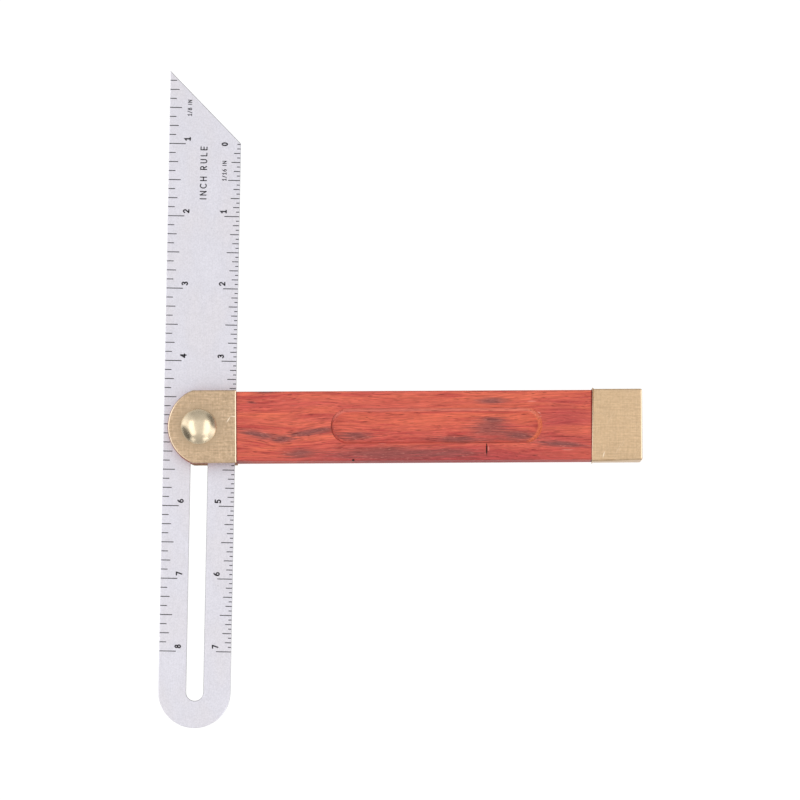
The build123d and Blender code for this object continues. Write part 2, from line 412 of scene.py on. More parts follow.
# Red hardwood: orange and crimson bands, purple clouds, fibres and open pores
wood = {
    "red": (0.59, 0.11, 0.084, 1),
    "deepRed": (0.44, 0.06, 0.053, 1),
    "orange": (0.67, 0.141, 0.081, 1),
    "crimson": (0.37, 0.052, 0.058, 1),
    "purple": (0.25, 0.078, 0.071, 1),
    # pale flecks, and the painted highlight on the recess's upper wall
    "fleckAndHighlight": (0.72, 0.27, 0.21, 1),
    "pore": (0.13, 0.02, 0.016, 1),
    "crack": (0.012, 0.004, 0.003, 1),
    # painted light: the bright tone of the recess's far end
    "paintedLitEnd": (0.72, 0.175, 0.085, 1),
    # painted shade: the dark tone of the recess's near end and of the seams beside the plate and the cap
    "paintedWoodShade": (0.16, 0.025, 0.02, 1),
    "roughness": (0.42, 0.58),
    # each layer of the grain: length, width, detail and seed
    "grain": {
        "bands": (75.0, 3.2, 3.0, 0.0),
        "streaks": (32.0, 0.75, 3.0, 4.0),
        "fibres": (10.0, 0.29, 3.0, 9.0),
        "hairs": (3.5, 0.2, 1.0, 3.0),
        "specks": (1.6, 0.24, 1.0, 6.0),
        "pores": (3.4, 0.22, 0.0, 2.0),
    },
    "fray": {"orange": 1.7, "crimson": 0.7, "purple": 1.4},
    # where the recess's round ends begin and stop, along the stock
    "nearEnd": (35.0, 70.0),
    "farEnd": 95.0,
    "endFade": 2.0,
    # the grain dips under this oval: centre, half size, how far
    "dip": ((31, -4), (20, 9.5), 2.4),
    # tone, centre, half size and slope of each patch, then how strong it is
    "patches": [
        ("crimson", (84, -11.3), (78, 5.8), -0.01, 0.85),
        ("crimson", (126, 1.0), (14, 12.0), 0.0, 0.5),
        ("orange", (80, 8.5), (50, 3.6), 0.0, 0.5),
        ("orange", (80, 1.4), (30, 4.5), 0.0, 0.75),
        ("orange", (56, 3.5), (9, 3.0), 0.0, 0.7),
        ("orange", (113, 1.5), (8, 2.6), 0.0, 0.7),
        ("orange", (24.5, -7.6), (15, 1.8), 0.15, 0.8),
        ("orange", (42, 5.8), (9, 1.8), 0.0, 0.6),
        ("orange", (130, -2.0), (10, 2.5), 0.0, 0.5),
        ("purple", (21.5, -2.9), (11, 2.0), -0.2, 1.0),
        ("purple", (29.5, -4.6), (6, 1.9), 0.0, 0.9),
        ("purple", (38.5, -2.2), (12, 1.9), 0.14, 0.95),
        ("purple", (23, 12.1), (5, 0.9), 0.0, 0.9),
        ("purple", (18.3, 8.4), (2.6, 0.7), -0.1, 0.8),
        ("purple", (35, -9.6), (8, 2.2), 0.05, 0.9),
        ("purple", (66, -9.8), (38, 3.6), 0.0, 0.75),
        ("purple", (88, -9.6), (16, 2.2), 0.0, 0.6),
        ("purple", (54.5, -3.4), (10, 2.4), -0.02, 0.85),
        ("purple", (91, -4.8), (16, 1.9), -0.02, 0.85),
        ("purple", (101.5, -0.8), (11, 5.0), 0.0, 0.75),
        ("purple", (103, 1.9), (6, 1.3), -0.05, 0.95),
        ("purple", (111.5, -3.7), (10, 2.8), -0.05, 0.95),
        ("purple", (102, 8.5), (8, 1.9), 0.0, 0.9),
        ("purple", (126.5, -6.6), (14, 1.7), -0.07, 0.95),
        ("purple", (12, -12.0), (9, 0.8), 0.0, 0.7),
    ],
    # cracks and a knot hole: centre, half size, slope
    "cracks": [
        ((100.25, -8.4), (0.34, 2.7), 0.0),
        ((53.8, -12.0), (0.62, 0.6), 0.0),
    ],
    # short dark lines: centre, half size, slope
    "dashes": [
        ((91, -3.5), (7, 0.26), -0.06),
        ((81, -5.0), (4, 0.2), 0.0),
        ((69, 3.8), (6, 0.26), 0.0),
        ((58.2, 1.6), (2.2, 0.22), -0.04),
        ((56, 2.5), (1.6, 0.24), -0.04),
        ((43.6, 2.5), (3, 0.2), 0.0),
        ((83, 0.1), (1.9, 0.2), 0.0),
        ((98, 0.6), (3.2, 0.22), -0.04),
        ((110.5, 2.1), (1.2, 0.22), 0.0),
        ((115.2, 1.4), (2, 0.18), 0.0),
        ((114, 4.0), (2.4, 0.2), 0.0),
        ((127.5, -4.0), (9, 0.22), -0.02),
        ((50, -7.0), (1.8, 0.24), 0.1),
        ((34, -2.5), (2.4, 0.26), 0.12),
        ((18.3, 8.4), (1.7, 0.24), -0.1),
        ((39, 4.2), (1.5, 0.22), 0.0),
        ((19.7, -8.9), (1.3, 0.24), -0.1),
        ((26, -4.2), (1.4, 0.26), -0.1),
    ],
    # light splinters: centre, half size, slope
    "splinters": [
        ((100.95, -8.1), (0.24, 1.2), 0.0),
        ((128.6, -8.7), (3.2, 0.2), 0.0),
        ((116, 8.3), (2.2, 0.2), 0.0),
        ((118.6, 4.3), (0.9, 0.28), -0.5),
        ((118.9, 3.0), (0.8, 0.2), 0.2),
        ((64.0, -6.2), (2.0, 0.18), 0.0),
    ],
}


# how deep a mark on the front goes, in millimetres
markDepth = 4
allThrough = 1000


# the largest of the masks of several small marks on the front
def markMask(tree, vector, marks, noise, fray=0.8, core=0.4):
    mask = None
    for centre, half, slope in marks:
        place = {"Centre": (*centre, stockZ[1] / mm), "Size": (*half, markDepth), "Slope": -slope}
        spot = useGroup(tree, softSpot, vector, **place, Fray=fray, Core=core, Noise=noise)
        mask = larger(tree, mask, spot) if mask else spot
    return mask


# the vector that the grain follows: it wanders a little along the stock, and dips in one place
def bendGrain(tree, place):
    slow = calculateVector(tree, "MULTIPLY", place, (0.022, 0.08, 0.08))
    drift = addNode(tree, "TexNoise", {"Vector": slow, "Scale": 1.0, "Detail": 1.0})
    centred = calculateVector(tree, "SUBTRACT", drift.outputs[1], (0.5, 0.5, 0.5))
    wander = calculateVector(tree, "MULTIPLY_ADD", centred, (0, 5, 5), place)
    centre, half, far = wood["dip"]
    dip = useGroup(tree, softSpot, place, Centre=(*centre, 0), Size=(*half, allThrough), Core=0.0)
    sink = addNode(tree, "CombineXYZ", {"Y": multiply(tree, dip, far)})
    return calculateVector(tree, "ADD", wander, sink.outputs[0])


def makeWood():
    material, tree, sockets, place = startMaterial("redHardwood", Specular_IOR_Level=0.15)
    along = bendGrain(tree, place)
    layers = [grain(tree, along, *layer) for layer in wood["grain"].values()]
    bands, streaks, fibres, hairs, specks, pores = layers

    color = mixColors(tree, mapRange(tree, bands, 0.36, 0.62), wood["red"], wood["orange"])
    color = mixColors(tree, mapRange(tree, streaks, 0.46, 0.64, 0.0, 0.85), color, wood["deepRed"])
    purples = None
    for tone, centre, half, slope, strength in wood["patches"]:
        where = {"Centre": (*centre, 0), "Size": (*half, allThrough), "Slope": -slope}
        noise = fibres if tone == "purple" else streaks
        patch = useGroup(tree, softSpot, place, **where, Fray=wood["fray"][tone], Core=0.15, Noise=noise)
        amount = multiply(tree, patch, strength)
        color = mixColors(tree, amount, color, wood[tone])
        if tone == "purple":
            purples = larger(tree, purples, amount) if purples else amount

    # painted light and shade on the recess's ends, which cut across the fibres: the far end's wall is
    # painted bright as if lit, the near one painted dark as if in shade
    x, y = addNode(tree, "SeparateXYZ", {0: place}).outputs[:2]
    geometry = addNode(tree, "NewGeometry")
    faceX, faceY, faceZ = addNode(tree, "SeparateXYZ", {0: geometry.outputs["True Normal"]}).outputs
    (nearFrom, nearTo), farFrom, fade = wood["nearEnd"], wood["farEnd"], wood["endFade"]
    farSide = mapRange(tree, x, farFrom, farFrom + fade)
    paintedLitEnd = multiply(tree, mapRange(tree, faceX, -0.03, -0.25), farSide)
    color = mixColors(tree, multiply(tree, paintedLitEnd, 0.85), color, wood["paintedLitEnd"])
    nearStart = mapRange(tree, x, nearFrom, nearFrom + fade)
    nearSide = multiply(tree, mapRange(tree, x, nearTo, nearTo - fade), nearStart)
    shaded = multiply(tree, mapRange(tree, faceX, 0.55, 0.8), nearSide)
    color = mixColors(tree, multiply(tree, shaded, 0.7), color, wood["paintedWoodShade"])
    # and its upper wall gets a painted pale highlight, in the flecks' pale tone
    upperWallHighlight = multiply(tree, mapRange(tree, faceY, -0.15, -0.45), mapRange(tree, y, 0.0, 1.0))
    upperWallHighlight = multiply(tree, upperWallHighlight, mapRange(tree, faceZ, 0.2, 0.5))
    color = mixColors(tree, multiply(tree, upperWallHighlight, 0.4), color, wood["fleckAndHighlight"])

    for layer, low, high, depth in ((fibres, 0.33, 0.67, (0.82, 1.19)), (hairs, 0.3, 0.7, (0.83, 1.17))):
        color = mixColors(tree, 1.0, color, mapRange(tree, layer, low, high, *depth), "MULTIPLY")
    # pale flecks, most of them in the purple
    fleckRoom = mapRange(tree, purples, 0.0, 0.6, 0.15, 0.5)
    fleckMask = multiply(tree, mapRange(tree, specks, 0.6, 0.72), fleckRoom)
    splinters = multiply(tree, markMask(tree, place, wood["splinters"], specks), 0.75)
    color = mixColors(tree, larger(tree, fleckMask, splinters), color, wood["fleckAndHighlight"])
    dashes = multiply(tree, markMask(tree, place, wood["dashes"], specks, 1.1, 0.1), 0.9)
    poreMask = larger(tree, mapRange(tree, pores, 0.69, 0.76, 0.0, 0.75), dashes)
    color = mixColors(tree, poreMask, color, wood["pore"])
    # painted shadow in the seams beside the plate and the cap
    capSeam, plateSeam = capX[0] / mm, plateX[1] / mm
    seams = larger(
        tree,
        mapRange(tree, x, capSeam - 0.8, capSeam - 0.4, 0.0, 0.9),
        mapRange(tree, x, plateSeam + 0.5, plateSeam + 0.1, 0.0, 0.5),
    )
    color = mixColors(tree, seams, color, wood["paintedWoodShade"])
    cracks = markMask(tree, place, wood["cracks"], specks, 0.5, 0.5)
    color = mixColors(tree, cracks, color, wood["crack"])
    tree.links.new(color, sockets["Base Color"])
    tree.links.new(mapRange(tree, fibres, 0.3, 0.7, *wood["roughness"]), sockets["Roughness"])
    height = calculate(tree, "SUBTRACT", fibres, larger(tree, poreMask, cracks))
    addBump(tree, sockets, height, 0.4, 0.06 * mm)
    return material


# Satin brass with fine hairlines both ways, the cap's a little yellower than the plates'
satinBrass = {
    "plate": {"light": (0.69, 0.505, 0.335, 1), "dark": (0.545, 0.39, 0.247, 1), "lines": 0.16},
    "cap": {"light": (0.75, 0.54, 0.335, 1), "dark": (0.665, 0.47, 0.285, 1), "lines": 0.09},
    # worn edges and scratches, and the painted highlight on the chamfers that face left and right
    "worn": (0.97, 0.82, 0.64, 1),
    # the painted shade round the bolt's head
    "paintedBrassShade": (0.5, 0.37, 0.24, 1),
    # the painted shade on the edges below the side chamfers
    "paintedEdgeShade": (0.22, 0.14, 0.09, 1),
    "roughness": (0.34, 0.46),
    # light scratches on the front: centre, half size, slope
    "scratches": [
        ((10.4, 2.4), (1.5, 0.26), 1.0),
        ((12.2, 3.5), (1.5, 0.2), -0.1),
        ((141.0, -10.4), (1.5, 0.24), 1.3),
    ],
}


def makeSatinBrass(name, tones):
    material, tree, sockets, place = startMaterial(name, Metallic=1.0)
    brush = grain(tree, place, 5.0, 0.22, 3.0)
    crossBrush = grain(tree, place, 0.24, 6.0, 2.0, 3.0)
    mottle = grain(tree, place, 0.8, 0.7, 4.0, 5.0)
    marks = useGroup(tree, fineScratches, place, Rarity=0.76)
    worn = useGroup(tree, edgeWear, place, Radius=0.25 * mm, Amount=0.45)
    color = mixColors(tree, mapRange(tree, mottle, 0.35, 0.65), tones["dark"], tones["light"])
    for lines, share in ((brush, 1.0), (crossBrush, 0.6)):
        depth = share * tones["lines"]
        shade = mapRange(tree, lines, 0.33, 0.67, 1 - depth, 1 + depth)
        color = mixColors(tree, 1.0, color, shade, "MULTIPLY")
    # painted shade: a darker patch round the bolt's head
    boltShade = useGroup(tree, roundPatch, place, Radius=6.6, Softness=2.6)
    boltShade = multiply(tree, boltShade, mapRange(tree, mottle, 0.3, 0.7, 0.3, 0.8))
    color = mixColors(tree, boltShade, color, satinBrass["paintedBrassShade"])
    light = larger(tree, multiply(tree, marks, 0.35), worn)
    light = larger(tree, light, markMask(tree, place, satinBrass["scratches"], mottle, 0.4, 0.3))
    # painted highlight: the narrow chamfers that face left and right are painted bright, in the worn tone
    geometry = addNode(tree, "NewGeometry")
    facing = addNode(tree, "SeparateXYZ", {0: geometry.outputs["True Normal"]}).outputs
    sideways, upright = [calculate(tree, "ABSOLUTE", facing[axis]) for axis in (0, 2)]
    chamferHighlight = multiply(tree, mapRange(tree, sideways, 0.2, 0.35), mapRange(tree, upright, 0.8, 0.9))
    light = larger(tree, light, multiply(tree, chamferHighlight, 0.55))
    # below them the edge gets painted shade
    shadow = multiply(tree, mapRange(tree, upright, 0.15, 0.3), mapRange(tree, upright, 0.8, 0.6))
    shadow = multiply(tree, shadow, mapRange(tree, sideways, 0.3, 0.5, 0.0, 0.7))
    color = mixColors(tree, shadow, color, satinBrass["paintedEdgeShade"])
    # the light tone goes on worn edges and scratches, and as painted highlight on the side chamfers
    tree.links.new(mixColors(tree, light, color, satinBrass["worn"]), sockets["Base Color"])
    rough = mapRange(tree, brush, 0.3, 0.7, *satinBrass["roughness"])
    tree.links.new(calculate(tree, "MULTIPLY_ADD", chamferHighlight, -0.08, rough), sockets["Roughness"])
    addBump(tree, sockets, calculate(tree, "ADD", brush, crossBrush), 0.1, 0.02 * mm)
    return material


# Polished brass of the bolt and its wing nut
polishedBrass = {
    "light": (0.87, 0.735, 0.53, 1),
    "dark": (0.77, 0.635, 0.45, 1),
    "worn": (0.95, 0.85, 0.66, 1),
    "roughness": (0.2, 0.3),
}


def makePolishedBrass():
    material, tree, sockets, place = startMaterial("polishedBrass", Metallic=1.0)
    haze = grain(tree, place, 3.0, 2.2, 4.0, 1.0)
    marks = useGroup(tree, fineScratches, place, Length=4.0, Width=0.08, Rarity=0.74)
    worn = useGroup(tree, edgeWear, place, Radius=0.2 * mm, Amount=0.5)
    color = mixColors(tree, mapRange(tree, haze, 0.3, 0.7), polishedBrass["dark"], polishedBrass["light"])
    color = mixColors(tree, worn, color, polishedBrass["worn"])
    tree.links.new(color, sockets["Base Color"])
    rough = mapRange(tree, haze, 0.3, 0.7, *polishedBrass["roughness"])
    tree.links.new(calculate(tree, "MULTIPLY_ADD", marks, 0.12, rough), sockets["Roughness"])
    addBump(tree, sockets, haze, 0.1, 0.03 * mm)
    return material


# Satin stainless steel of the blade
bladeSteel = {
    "light": (0.795, 0.78, 0.845, 1),
    "dark": (0.745, 0.73, 0.795, 1),
    "warm": (0.81, 0.78, 0.82, 1),
    # the dark dots, and the painted shade and dark reflection on the slot's walls and the mitre
    "darkMarksAndShade": (0.3, 0.3, 0.3, 1),
    "roughness": (0.36, 0.46),
    # small dark dots: place along and across the blade
    "dots": [(112.3, -0.6), (99.0, 1.2), (70.0, -3.0), (45.0, 4.2), (-55.0, -7.5)],
    "dotHalf": 0.35,
    # the slot's stretch, along the blade and out from its middle, with a fade inside its limits
    "slotAlong": (-102.0, 30.0),
    "slotOut": 6.0,
}


def makeBladeSteel():
    material, tree, sockets, place = startMaterial("satinSteel", bladeTurn, Metallic=1.0)
    brush = grain(tree, place, 9.0, 0.3, 2.0)
    speckle = grain(tree, place, 0.5, 0.45, 3.0, 2.0)
    cloud = grain(tree, place, 22.0, 12.0, 2.0, 6.0)
    marks = useGroup(tree, fineScratches, place, Length=12.0, Width=0.1, Rarity=0.78)
    color = mixColors(tree, mapRange(tree, cloud, 0.35, 0.65), bladeSteel["dark"], bladeSteel["light"])
    color = mixColors(tree, mapRange(tree, cloud, 0.55, 0.4, 0.0, 0.6), color, bladeSteel["warm"])
    color = mixColors(tree, 1.0, color, mapRange(tree, speckle, 0.3, 0.7, 0.93, 1.07), "MULTIPLY")
    color = mixColors(tree, 1.0, color, mapRange(tree, brush, 0.33, 0.67, 0.985, 1.015), "MULTIPLY")
    # painted shade on the slot's walls and a painted dark reflection on the mitre: both are painted darker
    geometry = addNode(tree, "NewGeometry")
    along, across = addNode(tree, "SeparateXYZ", {0: place}).outputs[:2]
    facing = addNode(tree, "SeparateXYZ", {0: geometry.outputs["True Normal"]})
    (slotLow, slotHigh), slotOut = bladeSteel["slotAlong"], bladeSteel["slotOut"]
    outward = calculate(tree, "ABSOLUTE", across)
    walls = mapRange(tree, facing.outputs[2], 0.97, 0.9)
    walls = multiply(tree, walls, mapRange(tree, outward, slotOut, slotOut - 0.5))
    walls = multiply(tree, walls, mapRange(tree, along, slotHigh, slotHigh - 1))
    walls = multiply(tree, walls, mapRange(tree, along, slotLow, slotLow + 1))
    mitreWay = (bladeWay - bladeLeft).normalized()
    mitre = calculateVector(tree, "DOT_PRODUCT", geometry.outputs["Normal"], mitreWay)
    dark = larger(tree, mapRange(tree, mitre, 0.1, 0.35, 0.0, 0.8), walls)
    half = bladeSteel["dotHalf"]
    for centre in bladeSteel["dots"]:
        where = {"Centre": (*centre, 0), "Size": (half, half, markDepth)}
        dot = useGroup(tree, softSpot, place, **where, Fray=0.8, Core=0.2, Noise=speckle)
        dark = larger(tree, dark, multiply(tree, dot, 0.35))
    color = mixColors(tree, dark, color, bladeSteel["darkMarksAndShade"])
    tree.links.new(color, sockets["Base Color"])
    rough = mapRange(tree, speckle, 0.3, 0.7, *bladeSteel["roughness"])
    tree.links.new(calculate(tree, "MULTIPLY_ADD", marks, -0.08, rough), sockets["Roughness"])
    addBump(tree, sockets, speckle, 0.08, 0.02 * mm)
    return material


# Dark etched lines and figures
etching = {"light": (0.06, 0.055, 0.065, 1), "dark": (0.02, 0.018, 0.025, 1)}


def makeEtching():
    material, tree, sockets, place = startMaterial("darkEtching", Metallic=0.2)
    speckle = grain(tree, place, 0.5, 0.3, 3.0)
    color = mixColors(tree, mapRange(tree, speckle, 0.35, 0.65), etching["dark"], etching["light"])
    tree.links.new(color, sockets["Base Color"])
    tree.links.new(mapRange(tree, speckle, 0.3, 0.7, 0.45, 0.7), sockets["Roughness"])
    return material


redHardwood = makeWood()
plateBrass = makeSatinBrass("plateBrass", satinBrass["plate"])
capBrass = makeSatinBrass("capBrass", satinBrass["cap"])
brassPolished = makePolishedBrass()
steelBrushed = makeBladeSteel()
inkEtched = makeEtching()
print("materials made")


headShape = {
    "fullness": 0.95 * mm,  # how much the round end's radius is over half the plate's width
    "plateEase": 0.45 * mm,
    "plateBackEase": 0.05 * mm,
    "bore": 3.65 * mm,
}
headRadius = plateY[1] + headShape["fullness"]
headCentre = plateX[0] + headRadius

# Stock
stockShape = {
    "ease": 0.4 * mm,
    "rim": 0.28 * mm,  # easing of the cut edges
    "rimAngle": 50.0,  # of the edges that are eased
    "kerf": 1.9 * mm,
    "kerfEndWood": 5.3 * mm,
    "recessFromPlate": 32.85 * mm,
    "recessFromCap": 17.6 * mm,
    "recessWidth": 12.5 * mm,
    "recessDepth": 1.8 * mm,
    "recessCorner": 1.7 * mm,
    "capWall": 1.6 * mm,  # how much thinner the tenon in the cap is, all round
}


def boxTool(name, low, high):
    bm = bmesh.new()
    bmesh.ops.create_cube(bm, size=1)
    size = Vector(high) - Vector(low)
    middle = (Vector(high) + Vector(low)) / 2
    bmesh.ops.transform(bm, matrix=Matrix.Translation(middle) @ Matrix.Diagonal((*size, 1)), verts=bm.verts)
    bmesh.ops.transform(bm, matrix=pivotSpace(), verts=bm.verts)
    return meshObject(bm, name)


# the thumb recess as a tool: an obround with a cove all round its floor, upside down on the back
def recessTool(name, side):
    depth, corner = stockShape["recessDepth"], stockShape["recessCorner"]
    loop = obroundLoop(
        plateX[1] + stockShape["recessFromPlate"],
        capX[0] - stockShape["recessFromCap"],
        stockShape["recessWidth"] / 2,
    )
    levels = roundedCorner(stockZ[1] - depth, corner, 10) + [(stockZ[1] + toolReach, 0)]
    return meshObject(slab([loop], levels, cheekSpace(side)), name)


def makeStock():
    loop = headLoop(headCentre, headCentre - stockX[0], stockY[1], capX[0])
    levels = easedLevels(stockZ[0], stockZ[1], stockShape["ease"], stockShape["ease"], 1)
    stock = meshObject(slab([loop], levels, pivotSpace()), "stockWood")
    wall = stockShape["capWall"]
    tenon = boxTool(
        "tenonTool",
        (capX[0] - toolReach, stockY[0] + wall, stockZ[0] + wall),
        (stockX[1], stockY[1] - wall, stockZ[1] - wall),
    )
    carve(stock, [tenon], "UNION")
    half = stockShape["kerf"] / 2
    beyond = 5 * mm
    left, lower, upper = stockX[0] - beyond, stockY[0] - beyond, stockY[1] + beyond
    under, over = stockZ[0] - beyond, stockZ[1] + beyond
    kerfEnd = capX[0] - stockShape["kerfEndWood"]
    tools = [
        boxTool("kerfTool", (left, lower, -half), (kerfEnd, upper, half)),
        boxTool("frontSeatTool", (left, lower, plateZ[0]), (plateX[1], upper, over)),
        boxTool("backSeatTool", (left, lower, under), (plateX[1], upper, -plateZ[0])),
        recessTool("frontRecessTool", 1),
        recessTool("backRecessTool", -1),
    ]
    bore = headShape["bore"]
    profile = [(0, under), (bore, under), (bore, over), (0, over)]
    tools.append(meshObject(lathe(profile, pivotSpace(), 64), "boreTool"))
    carve(stock, tools)
    easing = stock.modifiers.new("easing", "BEVEL")
    easing.width = stockShape["rim"]
    easing.segments = 2
    easing.limit_method = "ANGLE"
    easing.angle_limit = math.radians(stockShape["rimAngle"])
    settleModifiers(stock)
    fitOut(stock, "stock", redHardwood, "handle_body")


makeStock()


# Brass plates on the two cheeks
def makePlate(name, side, node):
    loop = headLoop(headCentre, headRadius, plateY[1], plateX[1], 96)
    hole = arcPoints((0, 0), headShape["bore"], 360, 0, 64)[:-1]
    levels = easedLevels(plateZ[0], plateZ[1], headShape["plateBackEase"], headShape["plateEase"], 2)
    plate = meshObject(slab([loop, hole], levels, cheekSpace(side)), name)
    fitOut(plate, "stock", plateBrass, node)


makePlate("frontPlate", 1, "head_plate_front")
makePlate("backPlate", -1, "head_plate_back")


# Cap on the butt
capShape = {"ease": 0.45 * mm}


def makeCap():
    corners = (capZ[0], capY[0]), (capZ[1], capY[0]), (capZ[1], capY[1]), (capZ[0], capY[1])
    loop = stroke(*corners)
    # the loop lies across the stock, so its plane's normal is the stock's X
    across = pivotSpace() @ Matrix(((0, 0, 1, 0), (0, 1, 0, 0), (-1, 0, 0, 0), (0, 0, 0, 1)))
    bm = slab([loop], [(capX[0], 0), (capX[1], 0)], across)
    bmesh.ops.dissolve_limit(bm, angle_limit=0.01, verts=bm.verts, edges=bm.edges)
    bmesh.ops.bevel(bm, geom=bm.edges[:], offset=capShape["ease"], segments=2, profile=0.5, affect="EDGES")
    cap = meshObject(bm, "buttCap")
    wall = stockShape["capWall"]
    socket = boxTool(
        "socketTool",
        (capX[0] - toolReach, stockY[0] + wall, capZ[0] + wall),
        (capX[1] - wall, stockY[1] - wall, capZ[1] - wall),
    )
    carve(cap, [socket])
    fitOut(cap, "stock", capBrass, "butt_cap")


makeCap()
print("stock made")


# Blade: drawn with its X along its length and its Y to its left edge
bladeShape = {
    "slotWidth": 6.0 * mm,
    "slotShift": 0.1 * mm,  # to the right
    "slotEnd": 3.1 * mm,  # from the round end's centre
    "slotAbovePivot": 6.0 * mm,  # to the centre of its upper end
    "ease": 0.2 * mm,
}
bladeSpace = pivotSpace(bladeTurn)
bladeHalf = bladeAcross[1]
bladeTip = bladeLength[1]
bladeRoundX = bladeLength[0] + bladeHalf


def makeBlade():
    # the mitre is at 45 degrees, so it drops by the blade's width
    outline = arcPoints((bladeRoundX, 0), bladeHalf, 90, 270, 64)
    outline += [Vector((bladeTip - 2 * bladeHalf, -bladeHalf)), Vector((bladeTip, bladeHalf))]
    slotHalf = bladeShape["slotWidth"] / 2
    slotFrom = bladeRoundX - bladeShape["slotEnd"]
    slot = obroundLoop(slotFrom, bladeShape["slotAbovePivot"] + slotHalf, slotHalf, 32)
    slot = [point - Vector((0, bladeShape["slotShift"])) for point in slot][::-1]
    levels = easedLevels(bladeZ[0], bladeZ[1], bladeShape["ease"], bladeShape["ease"], 2)
    blade = meshObject(slab([outline, slot], levels, bladeSpace), "bladeSteel")
    fitOut(blade, "blade", steelBrushed, "blade")


makeBlade()

# Scale lines: the left edge in eighths of an inch from the tip, the right edge in sixteenths
# from the mitre's foot
inch = 25.4 * mm
scaleShape = {
    "lineWidth": 0.31 * mm,
    "rise": 0.02 * mm,
    "sink": 0.02 * mm,
    "edgeGap": 0.12 * mm,
    "leftZero": 0.2 * mm,  # from the mitre's tip
    "rightZero": 0.35 * mm,  # from the mitre's foot
    # length of a line by how many of it there are to the inch
    "leftLengths": {1: 5.75 * mm, 2: 4.2 * mm, 4: 3.2 * mm, 8: 2.3 * mm},
    "rightLengths": {1: 5.5 * mm, 2: 4.45 * mm, 4: 3.4 * mm, 8: 2.5 * mm, 16: 1.4 * mm},
    "shortest": 0.3 * mm,
    "leftInches": 8,
    "rightInches": 7,
}
leftZero = bladeTip - scaleShape["leftZero"]
rightZero = bladeTip - 2 * bladeHalf - scaleShape["rightZero"]


def addBox(bm, low, high, space):
    corners = [
        bm.verts.new(space @ Vector((x, y, z)))
        for z in (low[2], high[2])
        for x, y in ((low[0], low[1]), (high[0], low[1]), (high[0], high[1]), (low[0], high[1]))
    ]
    bm.faces.new(corners[:4])
    bm.faces.new(corners[4:])
    for index in range(4):
        following = (index + 1) % 4
        bm.faces.new((corners[index], corners[following], corners[following + 4], corners[index + 4]))


# how many to the inch a division belongs to: 8 for an odd eighth, 4 for an odd quarter, 1 for an inch
def lineRank(division, finest):
    rank = finest
    while rank > 1 and division % 2 == 0:
        division //= 2
        rank //= 2
    return rank


def makeScaleLines():
    bm = bmesh.new()
    low, high = bladeZ[1] - scaleShape["sink"], bladeZ[1] + scaleShape["rise"]
    half = scaleShape["lineWidth"] / 2
    edge = bladeHalf - scaleShape["edgeGap"]
    for side, zero, finest, last, lengths in (
        (1, leftZero, 8, scaleShape["leftInches"], scaleShape["leftLengths"]),
        (-1, rightZero, 16, scaleShape["rightInches"], scaleShape["rightLengths"]),
    ):
        for division in range(last * finest + 1):
            at = zero - division * inch / finest
            length = lengths[finest if division == 0 else lineRank(division, finest)]
            room = bladeTip - at if side > 0 else length  # a line near the tip stops at the mitre
            length = min(length, max(room - 2 * half, 0))
            if length < scaleShape["shortest"]:
                continue
            inner, outer = sorted((side * edge, side * (edge - length)))
            addBox(bm, (at - half, inner, low), (at + half, outer, high), bladeSpace)
    lines = meshObject(bm, "scaleLines")
    fitOut(lines, "blade", inkEtched)


makeScaleLines()

# Figures and labels read up the blade, with their tops to its left edge
figureShape = {
    "height": 2.3 * mm,
    "afterLine": 1.0 * mm,
    "noughtBefore": 0.3,  # how far the nought starts before its line, as a share of the height
    "leftBaseline": 7.62 * mm,  # from the left edge
    "rightBaseline": 4.5 * mm,  # from the right edge
    "pen": 0.215,  # the stroke's width as a share of the height
}
# each label: which edge it is near (1 left, -1 right), how far its start is from the tip and its
# baseline from that edge, then its height, its pen and the room between its letters
labels = {
    "1/8 IN": (1, 15.9 * mm, 7.9 * mm, 1.6 * mm, 0.17, 0.1),
    "1/16 IN": (-1, 38.5 * mm, 4.8 * mm, 1.6 * mm, 0.17, 0.12),
    "INCH RULE": (1, 45.3 * mm, 13.6 * mm, 2.6 * mm, 0.15, 0.19),
}


def bend(x, y, radiusX, radiusY, start, end, steps=14):
    angles = [math.radians(start + (end - start) * step / steps) for step in range(steps + 1)]
    return [Vector((x + radiusX * math.cos(a), y + radiusY * math.sin(a))) for a in angles]


def upright(x, low=0.1, high=0.9):
    return stroke((x, low), (x, high))


def level(y, left, right):
    return stroke((left, y), (right, y))


